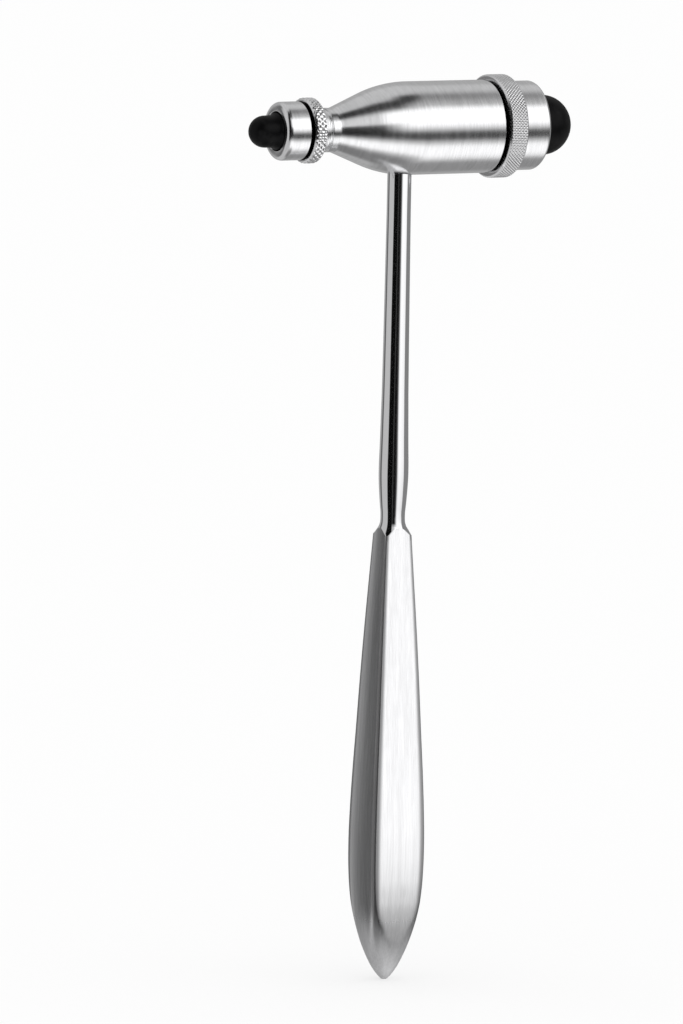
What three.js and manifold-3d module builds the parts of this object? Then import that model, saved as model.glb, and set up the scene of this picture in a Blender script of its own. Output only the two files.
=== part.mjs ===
// A double-ended percussion (reflex) hammer: a turned steel head with a large and a small rubber
// mallet, each held by a screw cap with a knurled lock ring behind it, on a one-piece steel handle
// whose lower half is a tapering four-sided grip.
//
// Millimetres, +Z up. The origin is the small flat on the handle's tip, +Z runs up the handle and
// +X runs along the head towards the large mallet.
import * as THREE from "three";
import { mergeVertices, toCreasedNormals } from "three/addons/utils/BufferGeometryUtils.js";
import Module from "manifold-3d";

const wasm = await Module();
wasm.setup();

// ---------------------------------------------------------------- driving dimensions

const HEAD_HEIGHT = 231; // the head's axis above the handle's tip
const CLEARANCE = 0.2; // radial play between a thread's crests and the plain bore around it
const SEAT_GAP = 0.2; // axial play between pieces that rest on each other
const SEGMENTS = 40; // facets round a turned piece
const FINE_SEGMENTS = 24; // round a slim one, and in each turn of a thread
const DOME_STEPS = 8;
const CREASE = Math.PI / 7;

const PITCH = 1; // of the threads under the caps and rings
const SLIM_PITCH = 0.75; // of those on the tenon and the grub screw
const THREAD_DEPTH = 0.6; // as a share of the pitch
const RELIEF = 0.7; // plain undercut between a shoulder and its thread
const LEAD = 0.5; // chamfer at a thread's free end
const EDGE_BREAK = 0.3; // small chamfer on the other edges
const OVERLAP = 0.1; // how far one solid reaches into the next before they are joined

// Stations along the head are measured from the handle's axis; "out" is away from it.
const body = {
  radius: 12.55,
  neckRadius: 5.93,
  neckOut: 21.1, // where the cone meets the neck
  coneSlope: 0.42, // radius gained per millimetre along the cone
  blendRadius: 37, // arc between cone and barrel
  edge: 0.5, // rounding of the barrel's rim
  rimOut: 25.7, // the barrel's end face
  grooveIn: 23.3, // decorative groove in the neck
  grooveOut: 24.2,
  grooveDepth: 0.45,
  shoulderIn: 25.2, // stop for the small lock ring
  shoulderOut: 26.1,
  shoulderRadius: 6.8,
};

const large = {
  threadRadius: 10,
  spigotOut: 35.7,
  stemBoreRadius: 6.2,
  stemBoreIn: 29.4,
  ringIn: 26.5,
  ringOut: 32,
  ringRadius: 13.95,
  ringChamfer: 0.5,
  capIn: 32.2,
  capOut: 40.1,
  capRadius: 12.05,
  capEdge: 1.1,
  lip: 1.6, // thickness of the cap's front wall
  holeRadius: 8.4,
  flangeRadius: 9.9,
  plugRadius: 8.1, // the mallet's striking end
  plugOut: 43.5, // where its straight side ends
  domeLength: 7.85,
  stemRadius: 6,
  stemLength: 6,
};

const small = {
  threadRadius: 6,
  spigotOut: 34.6,
  stemBoreRadius: 3.2,
  stemBoreIn: 30.4,
  ringIn: 26.4,
  ringOut: 30.1,
  ringRadius: 8.8,
  ringChamfer: 0.6,
  capIn: 31,
  capOut: 37.9,
  capRadius: 7.85,
  capEdge: 1.7,
  lip: 1.05,
  holeRadius: 5.2,
  flangeRadius: 5.85,
  plugRadius: 4.28,
  plugOut: 41.25,
  domeLength: 4.28,
  // The small mallet's base, which flares to fill the cap's hole.
  flare: [
    { radius: 5, out: 37.9 },
    { radius: 4.7, out: 38.5 },
    { radius: 4.36, out: 39.6 },
  ],
  stemRadius: 3,
  stemLength: 3.7,
};

const shaft = {
  topRadius: 3.25,
  straightLength: 12, // the cylindrical length at its top
  seatDepth: 1.8, // how far its full diameter enters the head
  tenonRadius: 2.5,
  tenonLength: 8.8,
};

// Radii of the hollow flare between grip and neck, at heights above the tip. It starts past the
// grip's corners, so that the four faces cut it into scallops.
const flareStations = [
  { height: 118, radius: 11.5 },
  { height: 121.4, radius: 5.25 },
  { height: 122.7, radius: 4.25 },
  { height: 123.8, radius: 3.63 },
  { height: 124.9, radius: 3.35 },
  { height: 126, radius: 3.3 },
];

// Radii of the shaft's swelling above the neck, joined by one smooth curve.
const swellStations = [
  { height: 127.5, radius: 3.33 },
  { height: 131.5, radius: 3.7 },
  { height: 138, radius: 4.02 },
  { height: 147, radius: 3.84 },
  { height: 160, radius: 3.6 },
];

// Half-widths of the square grip at heights above the tip, and how round each section's corners are
// (1 is a circle).
const gripStations = [
  { height: 0, half: 0.9, round: 1 },
  { height: 1.1, half: 1.9, round: 1 },
  { height: 3.5, half: 3.55, round: 1 },
  { height: 6.7, half: 4.95, round: 0.9 },
  { height: 10, half: 5.85, round: 0.72 },
  { height: 13.5, half: 6.4, round: 0.5 },
  { height: 17.5, half: 6.86, round: 0.28 },
  { height: 22, half: 7.25, round: 0.14 },
  { height: 28, half: 7.55, round: 0.09 },
  { height: 34, half: 7.66, round: 0.08 },
  { height: 38, half: 7.66, round: 0.08 },
  { height: 46, half: 7.5, round: 0.08 },
  { height: 56, half: 7.15, round: 0.08 },
  { height: 68, half: 6.6, round: 0.08 },
  { height: 82, half: 5.98, round: 0.08 },
  { height: 96, half: 5.28, round: 0.08 },
  { height: 110, half: 4.5, round: 0.08 },
  { height: 122.5, half: 3.72, round: 0.08 },
];
const CORNER_STEPS = 4;
const BAR_END = 125.2; // above this height the whole section is turned

const grub = { radius: 2, length: 5, point: 0.8, socket: 2, socketDepth: 2.5, tip: 2.9 };

// ---------------------------------------------------------------- solids

const solidOf = (geometry) => {
  const bare = geometry.clone();
  bare.deleteAttribute("normal");
  bare.deleteAttribute("uv");
  const merged = mergeVertices(bare, 1e-4);
  return new wasm.Manifold(
    new wasm.Mesh({
      numProp: 3,
      vertProperties: merged.attributes.position.array,
      triVerts: new Uint32Array(merged.index.array),
    }),
  );
};

const geometryOf = (solid) => {
  const mesh = solid.getMesh();
  const geometry = new THREE.BufferGeometry();
  geometry.setAttribute("position", new THREE.BufferAttribute(mesh.vertProperties, 3));
  geometry.setIndex(new THREE.BufferAttribute(mesh.triVerts, 1));
  return toCreasedNormals(geometry, CREASE);
};

// A profile is a list of [radius, station] pairs, anticlockwise with the axis on its left.
const turned = (profile, segments = SEGMENTS) =>
  new THREE.LatheGeometry(profile.map(([r, s]) => new THREE.Vector2(r, s)), segments);

const alongX = (geometry) => geometry.rotateZ(-Math.PI / 2);
const alongMinusX = (geometry) => geometry.rotateZ(Math.PI / 2);
const alongZ = (geometry) => geometry.rotateX(Math.PI / 2);

// Points on an arc about (cr, cs), from one angle to another, in degrees from the radius direction.
const arc = (cr, cs, radius, from, to, steps) =>
  Array.from({ length: steps + 1 }, (_, i) => {
    const a = THREE.MathUtils.degToRad(from + ((to - from) * i) / steps);
    return [cr + radius * Math.cos(a), cs + radius * Math.sin(a)];
  });

// A right-hand external thread from one station to another: a helical ridge whose crests stand at
// the radius, cut off by a cylinder with a chamfered free end.
function threadedRod(radius, pitch, from, to) {
  const n = FINE_SEGMENTS;
  const steps = Math.ceil((to - from) / pitch + 4) * n;
  const start = from - 2 * pitch;
  const helix = (r, offset) =>
    Array.from({ length: steps + 1 }, (_, i) => {
      const a = (2 * Math.PI * i) / n;
      return new THREE.Vector3(r * Math.sin(a), start + offset + (pitch * i) / n, r * Math.cos(a));
    });
  const root = steps + 1;
  const points = [...helix(radius, 0), ...helix(radius - THREAD_DEPTH * pitch, pitch / 2)];
  const low = points.length;
  const high = low + 1;
  points.push(new THREE.Vector3(0, start, 0), new THREE.Vector3(0, to + 2 * pitch, 0));
  const index = [];
  for (let i = 0; i < steps; i++) {
    index.push(i, i + 1, root + i + 1, i, root + i + 1, root + i);
    if (i + n < steps) {
      const crest = i + n;
      index.push(root + i, root + i + 1, crest + 1, root + i, crest + 1, crest);
    }
  }
  for (let i = 0; i < n; i++) {
    index.push(low, i + 1, i);
    index.push(high, root + steps - n + i, root + steps - n + i + 1);
  }
  index.push(low, root, n, low, 0, root);
  index.push(high, root + steps, steps, high, steps, root + steps - n);
  const ridge = new THREE.BufferGeometry().setFromPoints(points);
  ridge.setIndex(index);
  const limit = turned([
    [0, from],
    [radius + 1, from],
    [radius + 1, to - LEAD - 1],
    [radius - LEAD, to],
    [0, to],
  ]);
  return solidOf(ridge).intersect(solidOf(limit));
}

// ---------------------------------------------------------------- head body

function headOutline() {
  const coneAngle = Math.atan(body.coneSlope);
  // The blend arc is tangent to the cone and to the barrel.
  const arcLow = body.radius - body.blendRadius * (1 - Math.cos(coneAngle));
  const coneLength = (arcLow - body.neckRadius) / body.coneSlope;
  const arcStart = -body.neckOut + coneLength;
  const arcCentre = arcStart + body.blendRadius * Math.sin(coneAngle);
  const blend = arc(
    body.radius - body.blendRadius,
    arcCentre,
    body.blendRadius,
    -THREE.MathUtils.radToDeg(coneAngle),
    0,
    10,
  );
  const groove = body.neckRadius - body.grooveDepth;
  const smallCore = small.threadRadius - THREAD_DEPTH * PITCH;
  const largeCore = large.threadRadius - THREAD_DEPTH * PITCH;
  return [
    [0, -body.shoulderOut - RELIEF],
    [smallCore, -body.shoulderOut - RELIEF],
    [smallCore, -body.shoulderOut],
    [body.shoulderRadius, -body.shoulderOut],
    [body.shoulderRadius, -body.shoulderIn],
    [body.neckRadius, -body.shoulderIn],
    [body.neckRadius, -body.grooveOut],
    [groove, -body.grooveOut + 0.2],
    [groove, -body.grooveIn - 0.2],
    [body.neckRadius, -body.grooveIn],
    [body.neckRadius, -body.neckOut],
    ...blend,
    ...arc(body.radius - body.edge, body.rimOut - body.edge, body.edge, 0, 90, 3),
    [largeCore, body.rimOut],
    [largeCore, body.rimOut + RELIEF],
    [0, body.rimOut + RELIEF],
  ];
}

// Blind bore for a mallet's stem, open at the spigot's end.
const stemBore = (end) =>
  turned([
    [0, end.stemBoreIn],
    [end.stemBoreRadius, end.stemBoreIn],
    [end.stemBoreRadius, end.spigotOut + 1],
    [0, end.spigotOut + 1],
  ]);

// Stepped socket, open downwards, for the handle's shaft and its tenon.
function handleSocket() {
  const seat = shaft.topRadius + CLEARANCE;
  const tenon = shaft.tenonRadius + CLEARANCE;
  const seatFloor = -body.radius + shaft.seatDepth + SEAT_GAP;
  const tenonFloor = seatFloor + shaft.tenonLength + SEAT_GAP;
  const profile = [
    [0, -body.radius - 1],
    [seat, -body.radius - 1],
    [seat, seatFloor],
    [tenon, seatFloor],
    [tenon, tenonFloor],
    [0, tenonFloor],
  ];
  return turned(profile, FINE_SEGMENTS);
}

const grubBore = () =>
  turned(
    [
      [0, 0],
      [grub.radius + CLEARANCE, 0],
      [grub.radius + CLEARANCE, large.stemBoreIn + 1],
      [0, large.stemBoreIn + 1],
    ],
    FINE_SEGMENTS,
  );

function headBody() {
  const spigot = (end, from) => threadedRod(end.threadRadius, PITCH, from, end.spigotOut);
  const cuts = [
    alongX(stemBore(large)),
    alongMinusX(stemBore(small)),
    alongX(grubBore()),
    alongZ(handleSocket()),
  ];
  let metal = solidOf(alongX(turned(headOutline())));
  metal = metal.add(spigot(large, body.rimOut + RELIEF - OVERLAP).rotate([0, 0, -90]));
  metal = metal.add(spigot(small, body.shoulderOut + RELIEF - OVERLAP).rotate([0, 0, 90]));
  for (const cut of cuts) {
    metal = metal.subtract(solidOf(cut));
  }
  return geometryOf(metal);
}

// ---------------------------------------------------------------- caps, rings and mallets

// The same outlines serve both ends. Stations run outwards along the profile.
function lockRing(end) {
  const bore = end.threadRadius + CLEARANCE;
  const c = end.ringChamfer;
  return turned([
    [bore + EDGE_BREAK, end.ringIn],
    [end.ringRadius - c, end.ringIn],
    [end.ringRadius, end.ringIn + c],
    [end.ringRadius, end.ringOut - c],
    [end.ringRadius - c, end.ringOut],
    [bore + EDGE_BREAK, end.ringOut],
    [bore, end.ringOut - EDGE_BREAK],
    [bore, end.ringIn + EDGE_BREAK],
    [bore + EDGE_BREAK, end.ringIn],
  ]);
}

function screwCap(end) {
  const bore = end.threadRadius + CLEARANCE;
  const e = end.capEdge;
  return turned([
    [bore + EDGE_BREAK, end.capIn],
    [end.capRadius - EDGE_BREAK, end.capIn],
    [end.capRadius, end.capIn + EDGE_BREAK],
    ...arc(end.capRadius - e, end.capOut - e, e, 0, 90, 4),
    [end.holeRadius + EDGE_BREAK, end.capOut],
    [end.holeRadius, end.capOut - EDGE_BREAK],
    [end.holeRadius, end.capOut - end.lip],
    [bore, end.capOut - end.lip],
    [bore, end.capIn + EDGE_BREAK],
    [bore + EDGE_BREAK, end.capIn],
  ]);
}

// A rubber plug: stem in the spigot's bore, flange clamped under the cap's lip, domed striking end.
function mallet(end) {
  const flangeIn = end.spigotOut + SEAT_GAP;
  const flangeOut = end.capOut - end.lip - SEAT_GAP;
  const flare = (end.flare ?? []).map((station) => [station.radius, station.out]);
  const base = flare.length > 0 ? flare[0][0] : end.plugRadius;
  const dome = Array.from({ length: DOME_STEPS + 1 }, (_, i) => {
    const a = (i / DOME_STEPS) * (Math.PI / 2);
    return [end.plugRadius * Math.cos(a), end.plugOut + end.domeLength * Math.sin(a)];
  });
  dome[DOME_STEPS][0] = 0;
  return turned([
    [0, flangeIn - end.stemLength],
    [end.stemRadius, flangeIn - end.stemLength],
    [end.stemRadius, flangeIn],
    [end.flangeRadius, flangeIn],
    [end.flangeRadius, flangeOut],
    [base, flangeOut],
    ...flare,
    ...dome,
  ]);
}

// ---------------------------------------------------------------- handle

// One corner-rounded square section of the grip, anticlockwise seen from above.
function gripSection({ height, half, round }) {
  const radius = half * round;
  const centre = half - radius;
  return [0, 1, 2, 3].flatMap((quarter) =>
    Array.from({ length: CORNER_STEPS + 1 }, (_, i) => {
      const a = ((quarter + i / CORNER_STEPS) * Math.PI) / 2;
      const cx = centre * (quarter === 0 || quarter === 3 ? 1 : -1);
      const cy = centre * (quarter < 2 ? 1 : -1);
      return new THREE.Vector3(cx + radius * Math.cos(a), cy + radius * Math.sin(a), height);
    }),
  );
}

// Joins sections with the same number of points into one closed solid.
function loft(sections) {
  const count = sections[0].length;
  const points = sections.flat();
  const low = points.length;
  const high = low + 1;
  const z = (section) => new THREE.Vector3(0, 0, section[0].z);
  points.push(z(sections[0]), z(sections[sections.length - 1]));
  const index = [];
  for (let i = 0; i < count; i++) {
    const next = (i + 1) % count;
    for (let ring = 0; ring < sections.length - 1; ring++) {
      const a = ring * count;
      const b = a + count;
      index.push(a + i, a + next, b + next, a + i, b + next, b + i);
    }
    const top = (sections.length - 1) * count;
    index.push(low, next, i, high, top + i, top + next);
  }
  const geometry = new THREE.BufferGeometry().setFromPoints(points);
  geometry.setIndex(index);
  return geometry;
}

// The bar's square section, which widens above the neck so that it leaves the turned shaft whole.
function squareBar(top) {
  const last = gripStations[gripStations.length - 1];
  const wide = flareStations[0].radius;
  return loft([
    ...gripStations.map(gripSection),
    gripSection({ ...last, height: BAR_END }),
    gripSection({ ...last, height: BAR_END, half: wide }),
    gripSection({ ...last, height: top + 1, half: wide }),
  ]);
}

function handle() {
  const shaftTop = HEAD_HEIGHT - body.radius + shaft.seatDepth;
  const top = shaftTop + shaft.tenonLength;
  const tenonCore = shaft.tenonRadius - THREAD_DEPTH * SLIM_PITCH;
  const flare = flareStations.map((station) => [station.radius, station.height]);
  const swelling = new THREE.SplineCurve(
    swellStations.map((station) => new THREE.Vector2(station.radius, station.height)),
  );
  const turnedProfile = [
    [0, -1],
    [flare[0][0], -1],
    ...flare,
    ...swelling.getPoints(12).map((p) => [p.x, p.y]),
    [shaft.topRadius, shaftTop - shaft.straightLength],
    [shaft.topRadius, shaftTop - EDGE_BREAK],
    [shaft.topRadius - EDGE_BREAK, shaftTop],
    [tenonCore, shaftTop],
    [tenonCore, shaftTop + RELIEF],
    [0, shaftTop + RELIEF],
  ];
  const bar = solidOf(alongZ(turned(turnedProfile, SEGMENTS))).intersect(solidOf(squareBar(shaftTop)));
  const tenon = threadedRod(shaft.tenonRadius, SLIM_PITCH, shaftTop + RELIEF - OVERLAP, top);
  return geometryOf(bar.add(tenon.rotate([90, 0, 0])));
}

// A headless screw with a hexagon socket, which bears on the handle's tenon.
function grubScrew() {
  const end = grub.tip + grub.length;
  const cone = turned(
    [
      [0, grub.tip],
      [grub.radius - grub.point, grub.tip],
      [grub.radius + CLEARANCE, grub.tip + grub.point + CLEARANCE],
      [grub.radius + CLEARANCE, end + 1],
      [0, end + 1],
    ],
    FINE_SEGMENTS,
  );
  const hexRadius = grub.socket / Math.sqrt(3);
  const socket = new THREE.CylinderGeometry(hexRadius, hexRadius, grub.socketDepth, 6);
  socket.translate(0, end - grub.socketDepth / 2 + 0.01, 0);
  const screw = threadedRod(grub.radius, SLIM_PITCH, grub.tip, end)
    .intersect(solidOf(cone))
    .subtract(solidOf(socket));
  return geometryOf(screw.rotate([0, 0, -90]));
}

// ---------------------------------------------------------------- assembly

const satin = { color: 0xc9cacb, metalness: 1, roughness: 0.3 };
const polished = { color: 0xd8d9da, metalness: 1, roughness: 0.08 };
const rubber = { color: 0x0c0c0d, metalness: 0, roughness: 0.45 };

function piece(name, geometry, look) {
  const mesh = new THREE.Mesh(geometry, new THREE.MeshStandardMaterial(look));
  mesh.name = name;
  return mesh;
}

const head = new THREE.Group();
head.position.z = HEAD_HEIGHT;
head.add(
  piece("head_body", headBody(), satin),
  piece("large_lock_ring", alongX(lockRing(large)), satin),
  piece("large_cap", alongX(screwCap(large)), satin),
  piece("large_mallet", alongX(mallet(large)), rubber),
  piece("small_lock_ring", alongMinusX(lockRing(small)), satin),
  piece("small_cap", alongMinusX(screwCap(small)), satin),
  piece("small_mallet", alongMinusX(mallet(small)), rubber),
  piece("handle_grub_screw", grubScrew(), { ...satin, color: 0x4a4a4c }),
);

const hammer = new THREE.Group();
hammer.add(head, piece("handle", handle(), polished));

export default hammer;
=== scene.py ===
"""A double-ended reflex hammer: turned head, knurled lock rings, rubber mallets, square handle.

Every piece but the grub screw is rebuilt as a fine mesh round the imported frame. Metres, +Z up the
handle from its tip, +X along the head towards the large mallet.
"""
import math

import bmesh
import bpy
from mathutils import Matrix, Vector


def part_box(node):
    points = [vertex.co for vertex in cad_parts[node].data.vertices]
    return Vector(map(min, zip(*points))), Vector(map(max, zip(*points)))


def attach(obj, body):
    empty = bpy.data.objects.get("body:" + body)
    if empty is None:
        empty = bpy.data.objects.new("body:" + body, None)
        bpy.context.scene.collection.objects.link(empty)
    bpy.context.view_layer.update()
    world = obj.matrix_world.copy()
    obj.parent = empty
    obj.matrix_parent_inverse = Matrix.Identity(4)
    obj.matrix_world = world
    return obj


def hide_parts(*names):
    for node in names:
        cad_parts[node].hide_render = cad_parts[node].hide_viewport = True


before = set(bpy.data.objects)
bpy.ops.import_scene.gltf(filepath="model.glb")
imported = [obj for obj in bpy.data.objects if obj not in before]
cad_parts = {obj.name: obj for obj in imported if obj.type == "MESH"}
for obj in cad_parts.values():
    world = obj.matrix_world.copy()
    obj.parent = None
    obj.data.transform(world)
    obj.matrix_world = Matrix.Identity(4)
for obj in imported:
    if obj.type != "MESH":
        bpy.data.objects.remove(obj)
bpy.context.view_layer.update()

MM = 0.001
SEGMENTS = 160  # facets round a turned piece
SOCKET_SEGMENTS = 96  # round the handle's socket
SHARP = math.radians(28)  # edges that turn by more than this are shaded sharp
TINY = 1e-7  # play when two lengths are compared

# Heights of the head's axis and of the handle's top, from the frame.
RING_LOW, RING_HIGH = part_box("large_lock_ring")
AXIS_Z = (RING_LOW[2] + RING_HIGH[2]) / 2
HANDLE_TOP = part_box("handle")[1][2]

# Head body: radii, and stations outwards from the handle's axis.
BODY_LOW, BODY_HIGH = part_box("head_body")
BODY_RADIUS = (BODY_HIGH[2] - BODY_LOW[2]) / 2
RIM_OUT = 25.7 * MM
NECK_RADIUS = 5.93 * MM
NECK_OUT = 21.1 * MM
CONE_SLOPE = 0.42
BLEND_RADIUS = 37 * MM
NECK_BLEND = ((0.08 * MM, 0), (0.45 * MM, 0.9 * MM))  # radius gained, and how far past NECK_OUT
NECK_STRAIGHT = 0.6 * MM
BARREL_STATIONS = (10 * MM, 18 * MM)  # they divide its straight part
ARC_STEPS = 24
GROOVE_IN, GROOVE_OUT, GROOVE_DEPTH = 23.3 * MM, 24.2 * MM, 0.5 * MM
GROOVE_WALL = 0.15 * MM  # how far each side of the groove leans in
SHOULDER_IN, SHOULDER_OUT, SHOULDER_RADIUS = 25.2 * MM, 26.1 * MM, 6.8 * MM
RELIEF = 0.7 * MM  # undercut between a shoulder and its thread
CLEARANCE = 0.2 * MM
EDGE = 0.3 * MM  # rounding of ordinary turned edges
LEAD = 0.3 * MM  # chamfer at the mouth of a thread

PITCH = 1 * MM
THREAD_DEPTH = 0.6 * MM
STATIONS_PER_TURN = 10
CREST_GAIN = 1.25  # how much higher than its crest an unflattened thread would rise
FADE_IN, FADE_OUT = 0.5, 0.9  # turns over which a thread rises at its start and falls at its end


# ---------------------------------------------------------------- the two ends of the head

class End:
    """One end of the head: its direction along X, its CAD pieces' stations and its own sizes.

    A mallet's flare is the list of (radius, station) points, in millimetres, below its dome.
    """

    def __init__(self, name, side, **sizes):
        self.name = name
        self.side = side
        self.__dict__.update(sizes)
        self.spigot_out = self.reach("head_body")[1]
        self.ring_in, self.ring_out, self.ring_radius = self.reach(f"{name}_lock_ring")
        self.cap_in, self.cap_out, self.cap_radius = self.reach(f"{name}_cap")
        self.stem_in, self.tip, self.flange_radius = self.reach(f"{name}_mallet")

    def reach(self, node):
        """The node's inner and outer stations and its radius."""
        low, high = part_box(node)
        near, far = sorted((low[0] * self.side, high[0] * self.side))
        return near, far, (high[2] - low[2]) / 2


# Each end's last size is the radius inside which its ring's -X face is painted with shade.
LARGE = End(
    "large", 1,
    thread_radius=10 * MM, bore_radius=6.2 * MM, bore_in=29.4 * MM,
    hole_radius=8.4 * MM, lip=1.6 * MM, cap_edge=1.1 * MM,
    plug_radius=8.1 * MM, dome_length=7.85 * MM, flare=[],
    stem_radius=6 * MM, ring_chamfer=0.5 * MM,
    knurl_teeth=92, knurl_depth=0.26 * MM, gap_shade_radius=12.2 * MM,
)
SMALL = End(
    "small", -1,
    thread_radius=6 * MM, bore_radius=3.2 * MM, bore_in=30.4 * MM,
    hole_radius=5.2 * MM, lip=1.05 * MM, cap_edge=1.7 * MM,
    plug_radius=4.28 * MM, dome_length=4.28 * MM,
    flare=[(5, 37.7), (4.96, 38.0), (4.82, 38.3), (4.6, 38.65), (4.42, 39.1), (4.33, 39.8)],
    stem_radius=3 * MM, ring_chamfer=0.6 * MM,
    knurl_teeth=34, knurl_depth=0.34 * MM, gap_shade_radius=7.9 * MM,
)


# ---------------------------------------------------------------- mesh helpers

def shade(piece, sharp=SHARP):
    """Shades a piece smooth but for its real corners, and keeps its flats flat."""
    piece.data.shade_smooth()
    piece.data.set_sharp_from_angle(angle=sharp)
    weighted = piece.modifiers.new("weighted", "WEIGHTED_NORMAL")
    weighted.keep_sharp = True


def new_piece(name, bm, sharp=SHARP):
    """Makes an object of a bmesh, with its faces pointing out."""
    bmesh.ops.recalc_face_normals(bm, faces=bm.faces)
    mesh = bpy.data.meshes.new(name)
    bm.to_mesh(mesh)
    bm.free()
    piece = bpy.data.objects.new(name, mesh)
    bpy.context.scene.collection.objects.link(piece)
    shade(piece, sharp)
    return piece


UPRIGHT = Matrix.Identity(4)  # for what is turned about the handle's axis


def around_head(side):
    """Takes (radius out, station) space, with its axis on +Z, to the head's axis."""
    return Matrix.Translation((0, 0, AXIS_Z)) @ Matrix.Rotation(side * math.pi / 2, 4, "Y")


def skin(bm, rings, closed):
    """Joins rings of vertices; a ring of one vertex is a point on the axis."""
    pairs = list(zip(rings, rings[1:] + rings[:1] if closed else rings[1:]))
    for low, high in pairs:
        count = max(len(low), len(high))
        for i in range(count):
            j = (i + 1) % count
            below = low[i % len(low)], low[j % len(low)]
            above = high[j % len(high)], high[i % len(high)]
            corners = []
            for v in below + above:
                if v not in corners:
                    corners.append(v)
            if len(corners) > 2:
                bm.faces.new(corners)


def even_angles(count):
    """Angles of a full turn, in radians."""
    return [2 * math.pi * i / count for i in range(count)]


def add_ring(bm, place, angles, radii, station):
    """Adds a ring of vertices at a station, with a radius for each angle."""
    ring = []
    for a, r in zip(angles, radii):
        ring.append(bm.verts.new(place @ Vector((r * math.cos(a), r * math.sin(a), station))))
    return ring


def turned(name, profile, place, carve=None, segments=SEGMENTS):
    """Turns (radius, station) points; carve(angle, radius, station) may change a radius."""
    bm = bmesh.new()
    angles = even_angles(segments)
    rings = []
    for radius, station in profile:
        if radius == 0:
            rings.append([bm.verts.new(place @ Vector((0, 0, station)))])
            continue
        radii = [carve(a, radius, station) if carve else radius for a in angles]
        rings.append(add_ring(bm, place, angles, radii, station))
    skin(bm, rings, closed=profile[0][0] > 0)
    return new_piece(name, bm)


ROUND_STEPS = 4
STRAIGHT = math.radians(12)  # a corner that turns by less than this is left as it is
LARGEST_CUT = 0.45  # how much of a line beside a corner its rounding may take


def rounded(profile, size):
    """Rounds each corner off the axis by up to size, or less where a line beside it is short."""
    closed = profile[0][0] > 0
    points = [Vector(p) for p in profile]
    out = []
    for i, here in enumerate(points):
        if not closed and i in (0, len(points) - 1):
            out.append(tuple(here))
            continue
        before, after = points[i - 1] - here, points[(i + 1) % len(points)] - here
        turn = math.pi - before.angle(after)
        if turn < STRAIGHT:
            out.append(tuple(here))
            continue
        cut = min(size, before.length * LARGEST_CUT, after.length * LARGEST_CUT)
        start, end = here + before.normalized() * cut, here + after.normalized() * cut
        for k in range(ROUND_STEPS + 1):
            t = k / ROUND_STEPS
            out.append(tuple(start * (1 - t) ** 2 + here * (2 * t * (1 - t)) + end * t * t))
    return out


def arc(centre_r, centre_s, radius, start, end, steps):
    """Points on an arc, in degrees from the radius direction."""
    out = []
    for i in range(steps + 1):
        a = math.radians(start + (end - start) * i / steps)
        out.append((centre_r + radius * math.cos(a), centre_s + radius * math.sin(a)))
    return out


def replace(piece, node, body):
    """Puts a piece in the place of a CAD node, on its body."""
    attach(piece, body)
    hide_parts(node)
    return piece


# ---------------------------------------------------------------- head body

def barrel_arc():
    """The arc between the cone and the barrel, with its stations along +X."""
    slope = math.atan(CONE_SLOPE)
    low = BODY_RADIUS - BLEND_RADIUS * (1 - math.cos(slope))
    start = -NECK_OUT + (low - NECK_RADIUS) / CONE_SLOPE
    centre = start + BLEND_RADIUS * math.sin(slope)
    return arc(BODY_RADIUS - BLEND_RADIUS, centre, BLEND_RADIUS, -math.degrees(slope), 0, ARC_STEPS)


def thread_stations(start, end):
    """Stations close enough together to carry a thread."""
    count = round((end - start) / PITCH * STATIONS_PER_TURN)
    return [start + (end - start) * i / count for i in range(count + 1)]


def ridge(turns):
    """Height of a thread, from 0 at its root to 1 at its flattened crest."""
    return min(1, CREST_GAIN * (1 - abs(2 * (turns % 1) - 1)))


def fade(station, start, end, pitch):
    """Lets a thread rise from nothing at both its ends."""
    rise = (station - start) / (FADE_IN * pitch)
    fall = (end - station) / (FADE_OUT * pitch)
    return max(0, min(1, rise, fall))


def carve_thread(angle, radius, station):
    """Cuts a right-hand thread into the two spigots and leaves the rest of the head whole."""
    for end in (LARGE, SMALL):
        first = (RIM_OUT if end is LARGE else SHOULDER_OUT) + RELIEF
        out = station * end.side
        if abs(radius - end.thread_radius) > TINY or out < first - TINY:
            continue
        turn = angle * end.side / (2 * math.pi)
        height = ridge(out / PITCH + turn) * fade(out, first, end.spigot_out, PITCH)
        return radius - THREAD_DEPTH * (1 - height)
    return radius


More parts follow.
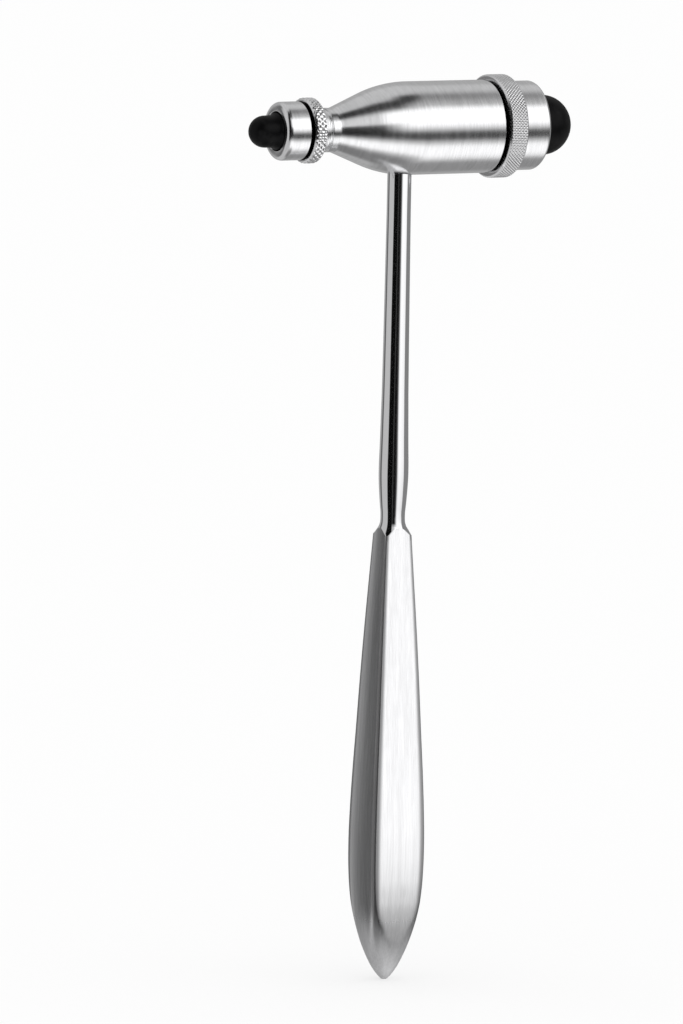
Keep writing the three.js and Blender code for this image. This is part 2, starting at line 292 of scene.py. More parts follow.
def head_outline():
    """The head's profile from bore to bore, with its stations along +X."""
    small_core = SMALL.thread_radius - THREAD_DEPTH
    large_core = LARGE.thread_radius - THREAD_DEPTH
    groove = NECK_RADIUS - GROOVE_DEPTH
    solid = [
        (small_core, -SHOULDER_OUT - RELIEF),
        (small_core, -SHOULDER_OUT),
        (SHOULDER_RADIUS, -SHOULDER_OUT),
        (SHOULDER_RADIUS, -SHOULDER_IN),
        (NECK_RADIUS, -SHOULDER_IN),
        (NECK_RADIUS, -GROOVE_OUT),
        (groove, -GROOVE_OUT + GROOVE_WALL),
        (groove, -GROOVE_IN - GROOVE_WALL),
        (NECK_RADIUS, -GROOVE_IN),
        (NECK_RADIUS, -NECK_OUT - NECK_STRAIGHT),
        *[(NECK_RADIUS + gain, -NECK_OUT + past) for gain, past in NECK_BLEND],
        *barrel_arc(),
        *[(BODY_RADIUS, station) for station in BARREL_STATIONS],
        (BODY_RADIUS, RIM_OUT),
        (large_core, RIM_OUT),
        (large_core, RIM_OUT + RELIEF),
    ]
    small_stations = thread_stations(SHOULDER_OUT + RELIEF, SMALL.spigot_out)
    large_stations = thread_stations(RIM_OUT + RELIEF, LARGE.spigot_out)
    return [
        (0, -SMALL.bore_in),
        (SMALL.bore_radius, -SMALL.bore_in),
        (SMALL.bore_radius, -SMALL.spigot_out),
        *[(SMALL.thread_radius, -station) for station in reversed(small_stations)],
        *rounded(solid, EDGE),
        *[(LARGE.thread_radius, station) for station in large_stations],
        (LARGE.bore_radius, LARGE.spigot_out),
        (LARGE.bore_radius, LARGE.bore_in),
        (0, LARGE.bore_in),
    ]


CUTTER_REACH = 2 * MM  # how far the socket's cutter starts below the head


def bored(piece, cutter):
    """Cuts one piece with another, and removes the cutter."""
    cut = piece.modifiers.new("bore", "BOOLEAN")
    cut.operation, cut.solver, cut.object = "DIFFERENCE", "EXACT", cutter
    piece.modifiers.move(len(piece.modifiers) - 1, 0)
    shown = piece.evaluated_get(bpy.context.evaluated_depsgraph_get())
    mesh = bpy.data.meshes.new_from_object(shown)
    piece.modifiers.clear()
    piece.data = mesh
    bpy.data.objects.remove(cutter)
    shade(piece)
    return piece


def head_body():
    """The turned body, with the handle's stepped socket bored into it from below."""
    body = turned("head_body_turned", head_outline(), around_head(1), carve_thread)
    shaft_radius, seat_top = handle_seat()
    wide, narrow = shaft_radius + CLEARANCE, TENON_RADIUS + CLEARANCE
    mouth, step = AXIS_Z - BODY_RADIUS - CUTTER_REACH, seat_top + CLEARANCE
    floor_height = HANDLE_TOP + 2 * CLEARANCE
    socket = [
        (0, mouth),
        (wide, mouth),
        (wide, step),
        (narrow, step),
        (narrow, floor_height),
        (0, floor_height),
    ]
    bored(body, turned("socket_cutter", socket, UPRIGHT, segments=SOCKET_SEGMENTS))
    return replace(body, "head_body", "head")


# ---------------------------------------------------------------- lock rings, caps and mallets

RING_FACE_DROP = 0.35 * MM  # how far in from the chamfer each end face starts

KNURL_GRID = 8  # grid steps across one diamond
GROOVE_HALF = 2.4  # half the width of a groove, in grid steps
GROOVE_SHARE = 0.45  # depth of one groove, as a share of the depth where two cross


def groove_share(step):
    """How deep one family of grooves is at a grid step, from 0 between them to 1 in one."""
    away = min(step % KNURL_GRID, -step % KNURL_GRID)
    return max(0, 1 - away / GROOVE_HALF)


def knurled_radii(end, columns, row, edge):
    """Radii round one row of the rim, none of them more than edge."""
    radii = []
    for column in range(columns):
        lesser, greater = sorted((groove_share(column + row), groove_share(column - row)))
        cut = end.knurl_depth * (GROOVE_SHARE * greater + (1 - GROOVE_SHARE) * lesser)
        radii.append(min(end.ring_radius - cut, edge))
    return radii


def knurled_ring(end):
    """A ring whose rim is cut by two crossing families of grooves, which leave flat diamonds."""
    columns = KNURL_GRID * end.knurl_teeth
    width = end.ring_out - end.ring_in
    rows = round(width / (2 * math.pi * end.ring_radius / columns))
    bore = end.thread_radius + CLEARANCE
    shoulder = end.ring_radius - end.ring_chamfer
    face = shoulder - RING_FACE_DROP
    place, angles = around_head(end.side), even_angles(columns)
    bm = bmesh.new()
    rings = []
    for row in range(rows + 1):
        depth_in = width * row / rows
        edge = min(depth_in, width - depth_in) + shoulder
        radii = knurled_radii(end, columns, row, edge)
        rings.append(add_ring(bm, place, angles, radii, end.ring_in + depth_in))
    for radius, station in (
        (face, end.ring_out),
        (bore + LEAD, end.ring_out),
        (bore, end.ring_out - LEAD),
        (bore, end.ring_in + LEAD),
        (bore + LEAD, end.ring_in),
        (face, end.ring_in),
    ):
        rings.append(add_ring(bm, place, angles, [radius] * columns, station))
    skin(bm, rings, closed=True)
    ring = new_piece(f"{end.name}_ring_knurled", bm)
    return replace(ring, f"{end.name}_lock_ring", f"{end.name}_lock_ring")


CAP_BACK_EDGE, CAP_BACK_STEPS = 0.25 * MM, 4
CAP_HOLE_EDGE, CAP_HOLE_STEPS = 0.4 * MM, 5
CAP_FRONT_STEPS = 10


def screw_cap(end):
    """A cap with a rounded front edge and a lip turned smoothly into its hole."""
    bore = end.thread_radius + CLEARANCE
    back, front, hole = CAP_BACK_EDGE, end.cap_edge, CAP_HOLE_EDGE
    profile = [
        (bore + LEAD, end.cap_in),
        *arc(end.cap_radius - back, end.cap_in + back, back, -90, 0, CAP_BACK_STEPS),
        *arc(end.cap_radius - front, end.cap_out - front, front, 0, 90, CAP_FRONT_STEPS),
        *arc(end.hole_radius + hole, end.cap_out - hole, hole, 90, 180, CAP_HOLE_STEPS),
        (end.hole_radius, end.cap_out - end.lip),
        (bore, end.cap_out - end.lip),
        (bore, end.cap_in + LEAD),
    ]
    cap = turned(f"{end.name}_cap_turned", profile, around_head(end.side))
    return replace(cap, f"{end.name}_cap", f"{end.name}_cap")


DOME_STEPS = 24


def mallet(end):
    """A rubber plug: a stem and a flange, then a flared or straight base under a dome."""
    flange_in = end.spigot_out + CLEARANCE
    flange_out = end.cap_out - end.lip - CLEARANCE
    dome_base = end.tip - end.dome_length
    flare = [(radius * MM, out * MM) for radius, out in end.flare]
    base = flare[0][0] if flare else end.plug_radius
    dome = []
    for i in range(DOME_STEPS + 1):
        a = i / DOME_STEPS * math.pi / 2
        dome.append((end.plug_radius * math.cos(a), dome_base + end.dome_length * math.sin(a)))
    dome[-1] = (0, end.tip)
    core = [
        (0, end.stem_in),
        (end.stem_radius, end.stem_in),
        (end.stem_radius, flange_in),
        (end.flange_radius, flange_in),
        (end.flange_radius, flange_out),
        (base, flange_out),
        (flare or dome)[0],
    ]
    profile = rounded(core, EDGE)[:-1] + flare + dome
    plug = turned(f"{end.name}_mallet_moulded", profile, around_head(end.side))
    return replace(plug, f"{end.name}_mallet", f"{end.name}_mallet")


# ---------------------------------------------------------------- handle

# The turned outline where the square grip flares into the neck: (height, radius).
FLARE = [
    (118 * MM, 11.5 * MM),
    (119.7 * MM, 8.4 * MM),
    (121.4 * MM, 5.25 * MM),
    (122.7 * MM, 4.25 * MM),
    (123.8 * MM, 3.63 * MM),
    (124.9 * MM, 3.35 * MM),
    (126 * MM, 3.3 * MM),
]
FLARE_START, NECK = FLARE[0][0], FLARE[-1][0]
BAR_PAST_NECK = 2 * MM  # how far above the neck the bar's taper is followed
SHAFT_END = 1 * MM  # the CAD shaft is followed to this far below the shoulder
SEAT_EDGE = 0.3 * MM  # chamfer where the shaft ends in the tenon

TENON_RADIUS = 2.5 * MM
TENON_PITCH = 0.75 * MM
TENON_DEPTH = 0.45 * MM  # of its thread
TENON_STATIONS_PER_TURN = 8

FLAT_STEPS, CORNER_STEPS = 14, 3
SMALLEST_CREASE = math.radians(15)  # half the angle that a flat takes up, at the least
CREASE_ROUNDS = 6
CROWN = 0.04  # how far the middle of a face of the square swells, as a share of its half-width
TIP_EASE, TIP_HEIGHT = 0.8 * MM, 36 * MM  # how wide the tip's edges are eased, and up to where
HANDLE_SHARP = math.radians(60)  # so that the grip's narrow rounded corners stay smooth
ON_CIRCLE = 0.002 * MM  # how near the turned outline a vertex counts as on it

# Spans of height and the step between the handle's sections in each, up to the neck.
GRIP_SPANS = (
    (0.15 * MM, 4 * MM, 0.35 * MM),
    (4 * MM, 30 * MM, 0.8 * MM),
    (30 * MM, 120 * MM, 2 * MM),
    (120 * MM, NECK, 0.08 * MM),
)
SWELL_TOP = 165 * MM
SWELL_STEP, SHAFT_STEP = 0.8 * MM, 4 * MM
WHOLE_RING = 16  # vertices at one height that make a whole ring of the CAD handle
SHOULDER_STEP = 0.2 * MM  # a fall in radius that marks the handle's shoulder


def handle_levels():
    """Heights at which the CAD handle has a whole ring of vertices: (height, half-width, reach)."""
    rings = {}
    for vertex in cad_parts["handle"].data.vertices:
        x, y, z = vertex.co
        rings.setdefault(round(z, 6), []).append((abs(x), math.hypot(x, y)))
    levels = []
    for z, ring in sorted(rings.items()):
        if len(ring) >= WHOLE_RING:
            levels.append((z, max(p[0] for p in ring), max(p[1] for p in ring)))
    return levels


def handle_seat():
    """The shaft's radius at its top, and the height of the shoulder that it ends in."""
    levels = handle_levels()
    for below, above in zip(levels, levels[1:]):
        if below[0] > AXIS_Z - BODY_RADIUS and above[2] < below[2] - SHOULDER_STEP:
            return below[2], above[0]
    raise ValueError("the handle has no shoulder inside the head")


def smooth_curve(points):
    """A function through (x, y) points, with no kink at them and no overshoot between them."""
    slopes = [(b[1] - a[1]) / (b[0] - a[0]) for a, b in zip(points, points[1:])]
    ends = [slopes[0]]
    for a, b in zip(slopes, slopes[1:]):
        ends.append(0 if a * b <= 0 else 2 * a * b / (a + b))
    ends.append(slopes[-1])

    def value(x):
        if x <= points[0][0]:
            return points[0][1]
        for i, (a, b) in enumerate(zip(points, points[1:])):
            if x <= b[0]:
                h = b[0] - a[0]
                t = (x - a[0]) / h
                return (a[1] * (1 + 2 * t) * (1 - t) ** 2 + b[1] * t * t * (3 - 2 * t)
                        + h * (ends[i] * t * (1 - t) ** 2 - ends[i + 1] * t * t * (1 - t)))
        return points[-1][1]

    return value


def spread(start, end, step):
    """Heights from start up to, and without, end."""
    count = max(1, round((end - start) / step))
    return [start + (end - start) * i / count for i in range(count)]


def softened(a, b, width):
    """The lesser of two radii, with the edge between them eased over a width."""
    if width <= 0:
        return min(a, b)
    share = max(0, 1 - abs(a - b) / width)
    return min(a, b) - share * share * width / 4


def face_radius(angle, half):
    """Radius of the nearest slightly crowned face of the square, at an angle."""
    along, across = sorted((abs(math.cos(angle)), abs(math.sin(angle))), reverse=True)
    return half * (1 + CROWN * (1 - (across / along) ** 2)) / along


def section_angles(half, reach):
    """Angles round a square cut by a circle, with points on the eight lines where they meet."""
    crease = SMALLEST_CREASE
    for _ in range(CREASE_ROUNDS):
        swollen = half * (1 + CROWN * (1 - math.tan(crease) ** 2))
        crease = max(SMALLEST_CREASE, math.acos(min(1, swollen / reach)))
    corner = math.radians(45) - crease
    quarter = [-math.radians(45) + corner * i / CORNER_STEPS for i in range(CORNER_STEPS)]
    quarter += [-crease + 2 * crease * i / FLAT_STEPS for i in range(FLAT_STEPS)]
    quarter += [crease + corner * i / CORNER_STEPS for i in range(CORNER_STEPS)]
    return [a + side * math.pi / 2 for side in range(4) for a in quarter]


def beyond(points, height):
    """Adds a point at a height, on the line through the last two (height, value) points."""
    (z0, v0), (z1, v1) = points[-2:]
    return [*points, (height, v1 + (v1 - v0) / (z1 - z0) * (height - z1))]


def handle_curves(seat_top):
    """Functions of height: the square's half-width, its reach at the corners, the turned radius."""
    levels = handle_levels()
    grip = [level for level in levels if level[0] < FLARE_START]
    shaft = [(z, r) for z, h, r in levels if NECK < z < seat_top - SHAFT_END]
    bar_top = NECK + BAR_PAST_NECK
    half_width = smooth_curve(beyond([(z, h) for z, h, r in grip], bar_top))
    bar_reach = smooth_curve(beyond([(z, r) for z, h, r in grip], bar_top))
    return half_width, bar_reach, smooth_curve(FLARE + shaft)


def handle_heights(seat_top):
    """Heights of the handle's sections, from its tip to the chamfer at the top of its shaft."""
    heights = [0.0]
    for start, end, step in GRIP_SPANS:
        heights += spread(start, end, step)
    heights += spread(NECK, SWELL_TOP, SWELL_STEP)
    heights += spread(SWELL_TOP, seat_top - SEAT_EDGE, SHAFT_STEP)
    return [*heights, seat_top - SEAT_EDGE]


def tenon_rings(bm, shaft_radius, seat_top):
    """The shoulder above the shaft and the threaded tenon on it."""
    angles = section_angles(1, 1)
    rings = []
    for radius in (shaft_radius - SEAT_EDGE, TENON_RADIUS - TENON_DEPTH):
        rings.append(add_ring(bm, UPRIGHT, angles, [radius] * len(angles), seat_top))
    first = seat_top + RELIEF
    for z in [*spread(first, HANDLE_TOP, TENON_PITCH / TENON_STATIONS_PER_TURN), HANDLE_TOP]:
        rise = fade(z, first, HANDLE_TOP, TENON_PITCH)
        turns = [z / TENON_PITCH - a / (2 * math.pi) for a in angles]
        radii = [TENON_RADIUS - TENON_DEPTH * (1 - ridge(turn) * rise) for turn in turns]
        rings.append(add_ring(bm, UPRIGHT, angles, radii, z))
    return rings


def is_turned(face, turned_radius):
    """Whether a face of the handle is on its turned, polished part, and not on a flat."""
    lowest = min(vertex.co.z for vertex in face.verts)
    short = min(math.hypot(*vertex.co.xy) - turned_radius(vertex.co.z) for vertex in face.verts)
    return lowest >= NECK or lowest >= FLARE_START and short > -ON_CIRCLE


def handle():
    """Square bar stock turned down: every section is a square cut by a circle.

    Faces on the flats get material 0 and turned ones material 1.
    """
    shaft_radius, seat_top = handle_seat()
    half_width, bar_reach, turned_radius = handle_curves(seat_top)
    bm = bmesh.new()
    rings = [[bm.verts.new((0, 0, 0))]]
    for z in handle_heights(seat_top):
        circle = bar_reach(z) if z < FLARE_START else min(bar_reach(z), turned_radius(z))
        half = half_width(z) if z < NECK else circle
        ease = TIP_EASE * max(0, 1 - z / TIP_HEIGHT)
        angles = section_angles(half, circle)
        radii = [softened(circle, face_radius(a, half), ease) for a in angles]
        rings.append(add_ring(bm, UPRIGHT, angles, radii, z))
    rings += tenon_rings(bm, shaft_radius, seat_top)
    rings.append([bm.verts.new((0, 0, HANDLE_TOP))])
    skin(bm, rings, closed=False)
    for face in bm.faces:
        face.material_index = int(is_turned(face, turned_radius))
    return replace(new_piece("handle_forged", bm, HANDLE_SHARP), "handle", "head")


# ---------------------------------------------------------------- materials

class Nodes:
    """A small helper for building a node tree."""

    def __init__(self, tree):
        self.tree = tree
        tree.nodes.clear()

    def add(self, kind, inputs=None, **settings):
        node = self.tree.nodes.new(kind)
        for key, value in settings.items():
            setattr(node, key, value)
        for key, value in (inputs or {}).items():
            self.set(node.inputs[key], value)
        return node

    def set(self, socket, value):
        if isinstance(value, bpy.types.NodeSocket):
            self.tree.links.new(value, socket)
        else:
            socket.default_value = value

    def math(self, operation, *values):
        node = self.add("ShaderNodeMath", operation=operation)
        for socket, value in zip(node.inputs, values):
            self.set(socket, value)
        return node.outputs[0]

    def smooth(self, value, start, end, low=0.0, high=1.0):
        """Eases from low to high as value goes from start to end."""
        node = self.add("ShaderNodeMapRange", interpolation_type="SMOOTHSTEP")
        for socket, given in zip(node.inputs, (value, start, end, low, high)):
            self.set(socket, given)
        return node.outputs[0]

    def mix(self, share, a, b):
        """Mixes two colours."""
        node = self.add("ShaderNodeMix", data_type="RGBA")
        self.set(node.inputs["Factor"], share)
        self.set(node.inputs["A"], a)
        self.set(node.inputs["B"], b)
        return node.outputs["Result"]

    def noise(self, vector, scale, detail=2.0):
        node = self.add("ShaderNodeTexNoise", {"Vector": vector, "Scale": scale, "Detail": detail})
        return node.outputs["Fac"]

    def streaks(self, axes, cycles, detail=2.0):
        """Noise with its own number of cycles per metre along each of the axes."""
        x, y, z = (self.math("MULTIPLY", axis, count) for axis, count in zip(axes, cycles))
        stretched = self.add("ShaderNodeCombineXYZ", {"X": x, "Y": y, "Z": z})
        return self.noise(stretched.outputs[0], 1.0, detail)

    def position(self):
        """Position in the shared frame."""
        return self.add("ShaderNodeTexCoord").outputs["Object"]

    def split(self, vector):
        """The x, y and z of a vector."""
        return self.add("ShaderNodeSeparateXYZ", {"Vector": vector}).outputs


def grey(value):
    """A grey with a trace of blue."""
    return (value, value, value * 1.012, 1)


def new_material(name):
    material = bpy.data.materials.new(name)
    material.use_nodes = True
    return material, Nodes(material.node_tree)


def finish_metal(n, colour, roughness, bump, bump_height, tangent_axis=None, anisotropy=0.0,
                 lean=0.0, slope=1.0):
    """Ends a metal's tree; lean and slope shift and scale the upward part of its normal."""
    surface = n.add("ShaderNodeNewGeometry").outputs["Normal"]
    leaned = n.add("ShaderNodeVectorMath", operation="MULTIPLY_ADD")
    for socket, value in zip(leaned.inputs, (surface, (1, 1, slope), (0, 0, lean))):
        n.set(socket, value)
    facing = n.add("ShaderNodeVectorMath", operation="NORMALIZE")
    n.set(facing.inputs[0], leaned.outputs[0])
    normal = n.add("ShaderNodeBump", {
        "Height": bump, "Distance": bump_height, "Strength": 1.0, "Normal": facing.outputs[0],
    })
    shader = n.add("ShaderNodeBsdfPrincipled", {
        "Base Color": colour,
        "Metallic": 1.0,
        "Roughness": roughness,
        "Normal": normal.outputs[0],
    })
    if tangent_axis:
        tangent = n.add("ShaderNodeTangent", direction_type="RADIAL", axis=tangent_axis)
        n.set(shader.inputs["Tangent"], tangent.outputs[0])
        n.set(shader.inputs["Anisotropic"], anisotropy)
    out = n.add("ShaderNodeOutputMaterial")
    n.set(out.inputs["Surface"], shader.outputs[0])


# Cycles of each texture per metre, along X, Y and Z.
TOOL_MARKS, CLOTH_MARKS, TURNED_PATCHES = (9000, 60, 60), (2600, 220, 220), (500, 45, 45)
BRUSH_MARKS, BRUSHED_PATCHES = (3600, 3600, 110), (700, 700, 14)
BUFFED_WAVES, HAIRLINES = (160, 160, 22), (6000, 6000, 900)

WORN = (0.30, 0.70)  # share of the noise over which steel goes from its darker to its lighter grey
THREAD_SHADE = grey(0.04)  # painted shade on the threads of the head and in the undercuts beside them
SHOULDER_PLAY, THREAD_PLAY = 0.05 * MM, 0.5 * MM


def turned_steel():
    """Satin steel with the fine rings that a lathe tool and abrasive cloth leave."""
    material, n = new_material("turned_steel")
    axes = n.split(n.position())
    tool = n.streaks(axes, TOOL_MARKS, 3.0)
    cloth = n.streaks(axes, CLOTH_MARKS, 3.0)
    broad = n.streaks(axes, TURNED_PATCHES)
    grain = n.math("MULTIPLY_ADD", tool, 0.4, n.math("MULTIPLY", cloth, 0.6))
    patchy = n.math("MULTIPLY_ADD", broad, 0.08, 0.10)
    roughness = n.math("ADD", n.math("MULTIPLY", grain, 0.08), patchy)
    worn = n.math("MULTIPLY_ADD", broad, 0.35, n.math("MULTIPLY", cloth, 0.65))
    colour = n.mix(n.smooth(worn, *WORN), grey(0.83), grey(0.96))
    # Painted shade: the threads and undercuts, seen only in the gaps between the parts, are painted
    # nearly black.
    colour = n.mix(in_thread_shade(n, *axes), colour, THREAD_SHADE)
    finish_metal(n, colour, roughness, grain, 0.0028 * MM, "X", 0.5)
    return material


def from_head_axis(n, y, z):
    """Distance from the head's axis."""
    up = n.math("SUBTRACT", z, AXIS_Z)
    return n.math("SQRT", n.math("ADD", n.math("MULTIPLY", y, y), n.math("MULTIPLY", up, up)))


def in_thread_shade(n, x, y, z):
    """1 where painted shade darkens the head's threads and the undercuts beside them, 0 elsewhere.
    """
    radius = from_head_axis(n, y, z)
    share = 0.0
    for end, first in ((LARGE, RIM_OUT), (SMALL, SHOULDER_OUT)):
        out = n.math("MULTIPLY", x, end.side)
        past = n.math("GREATER_THAN", out, first + SHOULDER_PLAY)
        before = n.math("LESS_THAN", out, end.spigot_out + CLEARANCE)
        inside = n.math("LESS_THAN", radius, end.thread_radius + THREAD_PLAY)
        on_end = n.math("MULTIPLY", n.math("MULTIPLY", past, before), inside)
        share = n.math("MAXIMUM", share, on_end)
    return share


RIM_PLAY = 0.02 * MM  # how near an end face still counts as that face
GROOVE_SHADE = (0.42, 0.78)  # share of a groove's depth over which painted shade darkens it


def knurled_steel():
    """Bright diamonds between grooves darkened by painted shade, and painted shade on the inner
    part of each ring's -X face.
    """
    material, n = new_material("knurled_steel")
    coords = n.position()
    x, y, z = n.split(coords)
    large = n.math("GREATER_THAN", x, 0.0)

    def of_end(value):
        return n.math("MULTIPLY_ADD", large, value(LARGE) - value(SMALL), value(SMALL))

    radius = from_head_axis(n, y, z)
    middle = of_end(lambda end: end.side * (end.ring_in + end.ring_out) / 2)
    half_width = of_end(lambda end: (end.ring_out - end.ring_in) / 2)
    past_middle = n.math("SUBTRACT", x, middle)
    to_edge = n.math("SUBTRACT", half_width, n.math("ABSOLUTE", past_middle))
    chamfer = of_end(lambda end: end.ring_chamfer)
    bevel = n.math("MAXIMUM", n.math("SUBTRACT", chamfer, to_edge), 0.0)
    crest = n.math("SUBTRACT", of_end(lambda end: end.ring_radius), bevel)
    depth = n.math("DIVIDE", n.math("SUBTRACT", crest, radius), of_end(lambda end: end.knurl_depth))
    on_rim = n.math("GREATER_THAN", to_edge, RIM_PLAY)
    # Painted shade: the grooves of the knurl are painted nearly black.
    groove = n.math("MULTIPLY", n.smooth(depth, *GROOVE_SHADE), on_rim)
    grain = n.noise(coords, 3500.0, 4.0)
    metal = n.mix(grain, grey(0.92), grey(1.0))
    # Painted shade: the inner part of each ring's -X face, in the gap beside it, is painted black.
    gap_shade = n.math("MULTIPLY", n.math("LESS_THAN", past_middle, 0.0),
                     n.math("LESS_THAN", radius, of_end(lambda end: end.gap_shade_radius)))
    colour = n.mix(gap_shade, n.mix(groove, metal, grey(0.02)), grey(0.004))
    roughness = n.math("MULTIPLY_ADD", grain, 0.16, 0.12)
    finish_metal(n, colour, roughness, grain, 0.004 * MM)
    return material


# How far the normals of the handle lean up, and how much of their own rise the shaft's keep.
SHAFT_LEAN, GRIP_LEAN = 0.15, 0.20
SHAFT_SLOPE = 0.15
DULL_TIP = (7 * MM, 22 * MM)  # heights between which the tip's dullness fades
CORNER_DULL_AND_SHADE = (0.05, 0.17)  # shares of the way from a corner over which its dullness and painted shade fade


def brushed_steel():
    """Satin steel brushed lengthwise, for the grip's flats, duller at its tip and corners, with
    painted shade on its corners above the tip.
    """
    material, n = new_material("brushed_steel")
    x, y, z = axes = n.split(n.position())
    lines = n.streaks(axes, BRUSH_MARKS, 3.0)
    broad = n.streaks(axes, BRUSHED_PATCHES)
    tip = n.smooth(z, *DULL_TIP, 1.0, 0.0)
    across, deep = n.math("ABSOLUTE", x), n.math("ABSOLUTE", y)
    difference = n.math("ABSOLUTE", n.math("SUBTRACT", across, deep))
    off_corner = n.math("DIVIDE", difference, n.math("ADD", across, deep))
    corner = n.smooth(off_corner, *CORNER_DULL_AND_SHADE, 1.0, 0.0)
    patchy = n.math("MULTIPLY_ADD", broad, 0.06, 0.09)
    roughness = n.math("ADD", n.math("MULTIPLY", lines, 0.06), patchy)
    dull = n.math("MAXIMUM", tip, n.math("MULTIPLY", corner, 0.6))
    roughness = n.math("MULTIPLY_ADD", dull, 0.42, roughness)
    worn = n.math("MULTIPLY_ADD", broad, 0.5, n.math("MULTIPLY", lines, 0.5))
    colour = n.mix(n.smooth(worn, *WORN), grey(0.72), grey(0.86))
    # Painted shade: the corners, away from the tip, are painted a darker grey.
    colour = n.mix(n.math("MULTIPLY", corner, n.math("SUBTRACT", 1.0, tip)), colour, grey(0.32))
    finish_metal(n, colour, roughness, lines, 0.004 * MM, "Z", 0.4, GRIP_LEAN)
    return material


def polished_steel():
    """Mirror-polished steel with the faint waviness and hairlines of a buffing wheel."""
    material, n = new_material("polished_steel")
    axes = n.split(n.position())
    wave = n.streaks(axes, BUFFED_WAVES)
    hair = n.streaks(axes, HAIRLINES, 3.0)
    height = n.math("MULTIPLY_ADD", hair, 0.05, wave)
    roughness = n.math("MULTIPLY_ADD", hair, 0.05, 0.035)
    colour = n.mix(hair, grey(0.84), grey(0.90))
    finish_metal(n, colour, roughness, height, 0.012 * MM, lean=SHAFT_LEAN, slope=SHAFT_SLOPE)
    return material


def blackened_steel():
    """Black oxide, a little worn."""
    material, n = new_material("blackened_steel")
    patchy = n.noise(n.position(), 1800.0, 4.0)
    colour = n.mix(patchy, grey(0.03), grey(0.10))
    roughness = n.math("MULTIPLY_ADD", patchy, 0.2, 0.35)
    finish_metal(n, colour, roughness, patchy, 0.01 * MM)
    return material


def black_rubber():
    """Moulded rubber: nearly black, with a fine orange-peel skin and faint dusty bloom."""
    material, n = new_material("black_rubber")
    coords = n.position()
    peel = n.noise(coords, 2600.0, 3.0)
    bloom = n.smooth(n.noise(coords, 420.0, 4.0), 0.45, 0.75)
    colour = n.mix(bloom, (0.0015, 0.0015, 0.0018, 1), (0.006, 0.006, 0.0064, 1))
    normal = n.add("ShaderNodeBump", {"Height": peel, "Distance": 0.02 * MM, "Strength": 0.5})
    shader = n.add("ShaderNodeBsdfPrincipled", {
        "Base Color": colour,
        "Roughness": n.math("MULTIPLY_ADD", bloom, 0.12, 0.40),
        "Specular IOR Level": 0.12,
        "Normal": normal.outputs[0],
    })
    out = n.add("ShaderNodeOutputMaterial")
    n.set(out.inputs["Surface"], shader.outputs[0])
    return material


def dress(piece, *materials):
    """Gives a piece its materials; this sets all its faces to the first of them."""
    piece.data.materials.clear()
    for material in materials:
        piece.data.materials.append(material)


# ---------------------------------------------------------------- studio

# The light tent and its black flags as bright and dark patches round the object: azimuth, half
# width and softness, elevation, half height and softness, all in degrees, and brightness.
# Azimuth 0 faces the front (-Y) and 90 the +X side.
TENT = 0.52
PATCHES = [
    (125, 50, 14, 45, 60, 14, 0.54),
    (-115, 45, 12, 20, 60, 12, 0.54),
    (30, 44, 10, 28, 23, 8, 1.22),
    (70, 42, 12, 56, 9, 6, 0.40),
    (12, 88, 14, 71, 10, 7, 0.02),
    (-14, 40, 12, 66, 14, 8, 0.015),
    (0, 180, 8, -82, 14, 8, 0.20),
    (125, 38, 12, -55, 22, 12, 0.27),
    (18, 60, 6, -46, 13, 6, 1.12),
    (28, 66, 5, -14, 10, 5, 0.05),
    (-22, 22, 18, 0, 16, 3, 0.006),
    (-56, 21, 3, 25, 50, 4, 0.003),
    (107, 43, 4, 5, 30, 8, 0.24),
    (-180, 42, 6, 5, 36, 8, 0.40),
    (-144, 10, 6, 5, 36, 6, 0.11),
]


ALL_ROUND = 180  # half width of a patch that goes all the way round


def within(n, off, half, soft):
    """1 where off is within half of 0, and 0 beyond it, eased over soft to either side."""
    return n.smooth(n.math("ABSOLUTE", off), half + soft, half - soft)


def studio():
    """A world whose patches are seen in reflections only; every other ray meets plain white."""
    world = bpy.data.worlds.new("studio")
    bpy.context.scene.world = world
    world.use_nodes = True
    n = Nodes(world.node_tree)
    direction = n.add("ShaderNodeTexCoord").outputs["Generated"]
    x, y, z = n.split(direction)
    azimuth = n.math("DEGREES", n.math("ARCTAN2", x, n.math("MULTIPLY", y, -1.0)))
    elevation = n.math("DEGREES", n.math("ARCSINE", z))
    light = TENT
    for centre, half, soft, height, rise, blur, brightness in PATCHES:
        turn = n.math("WRAP", n.math("SUBTRACT", azimuth, centre), 180.0, -180.0)
        across = 1.0 if half >= ALL_ROUND else within(n, turn, half, soft)
        up = within(n, n.math("SUBTRACT", elevation, height), rise, blur)
        share = n.math("MULTIPLY", across, up)
        change = n.math("SUBTRACT", brightness, light)
        light = n.math("MULTIPLY_ADD", share, change, light)
    rays = n.add("ShaderNodeLightPath").outputs
    strength = n.math("MULTIPLY_ADD", rays["Is Glossy Ray"], n.math("SUBTRACT", light, 1.0), 1.0)
    background = n.add("ShaderNodeBackground", {"Color": (1, 1, 1, 1), "Strength": strength})
    out = n.add("ShaderNodeOutputWorld")
    n.set(out.inputs["Surface"], background.outputs[0])


FLOOR_SIZE, FLOOR_DROP = 8, 0.1 * MM
FLOOR_GLOW = 0.6  # share of the floor's own light in it


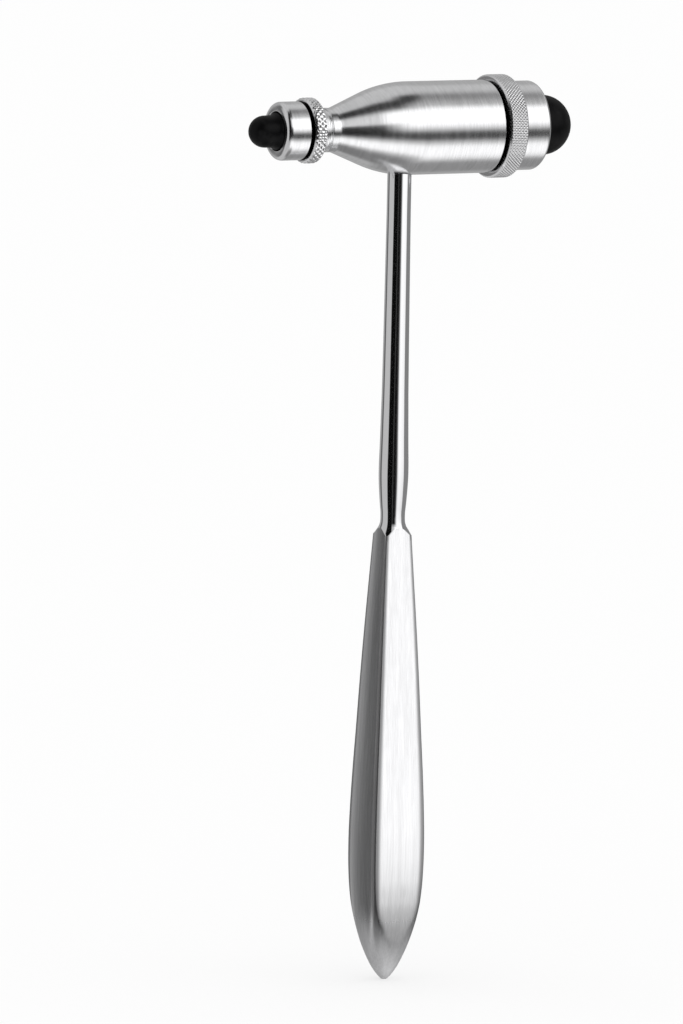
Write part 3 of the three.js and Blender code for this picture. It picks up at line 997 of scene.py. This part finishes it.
def floor():
    """A pale floor just below the tip, which no reflection shows."""
    bpy.ops.mesh.primitive_plane_add(size=FLOOR_SIZE, location=(0, 0, -FLOOR_DROP))
    plane = bpy.context.object
    plane.name = "floor"
    material, n = new_material("pale_floor")
    paint = n.add("ShaderNodeBsdfDiffuse", {"Color": (0.97, 0.97, 0.97, 1)})
    glow = n.add("ShaderNodeEmission", {"Color": (1, 1, 1, 1), "Strength": 1.0})
    both = n.add("ShaderNodeMixShader", {"Fac": FLOOR_GLOW})
    n.set(both.inputs[1], paint.outputs[0])
    n.set(both.inputs[2], glow.outputs[0])
    out = n.add("ShaderNodeOutputMaterial")
    n.set(out.inputs["Surface"], both.outputs[0])
    dress(plane, material)
    plane.visible_glossy = False


# ---------------------------------------------------------------- camera

VIEW_AZIMUTH, VIEW_ELEVATION, VIEW_ROLL = (math.radians(a) for a in (-28.5, 7.0, 1.1))
VIEW_DISTANCE = 2.5
VIEW_HEIGHT = 275.8 * MM  # what the frame's long side covers at the handle
VIEW_CENTRE = (-13.8 * MM, 127.1 * MM)  # rightwards of the handle's axis, and above the tip
VIEW_END = 20


def camera():
    """A long lens that looks slightly down at the hammer, from the left of its front."""
    back = Vector((
        math.sin(VIEW_AZIMUTH) * math.cos(VIEW_ELEVATION),
        -math.cos(VIEW_AZIMUTH) * math.cos(VIEW_ELEVATION),
        math.sin(VIEW_ELEVATION),
    ))
    data = bpy.data.cameras.new("camera")
    data.lens = data.sensor_width * VIEW_DISTANCE / VIEW_HEIGHT
    data.clip_end = VIEW_END
    item = bpy.data.objects.new("camera", data)
    bpy.context.scene.collection.objects.link(item)
    level = (-back).to_track_quat("-Z", "Y")
    right = level @ Vector((1, 0, 0))
    target = Vector((0, 0, VIEW_CENTRE[1])) + right * VIEW_CENTRE[0]
    item.location = target + back * VIEW_DISTANCE
    item.rotation_mode = "QUATERNION"
    item.rotation_quaternion = level @ Matrix.Rotation(VIEW_ROLL, 4, "Z").to_quaternion()
    bpy.context.scene.camera = item


# ---------------------------------------------------------------- the scene

def build():
    """Builds every piece and gives it its material."""
    satin, knurl, brushed = turned_steel(), knurled_steel(), brushed_steel()
    polished, black, rubber = polished_steel(), blackened_steel(), black_rubber()
    dress(head_body(), satin)
    for end in (LARGE, SMALL):
        dress(knurled_ring(end), knurl)
        dress(screw_cap(end), satin)
        dress(mallet(end), rubber)
    bar = handle()
    for material in (brushed, polished):
        bar.data.materials.append(material)  # not dress(), to keep the material of each face
    dress(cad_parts["handle_grub_screw"], black)


build()
studio()
floor()
camera()
bpy.context.scene.view_settings.view_transform = "Standard"
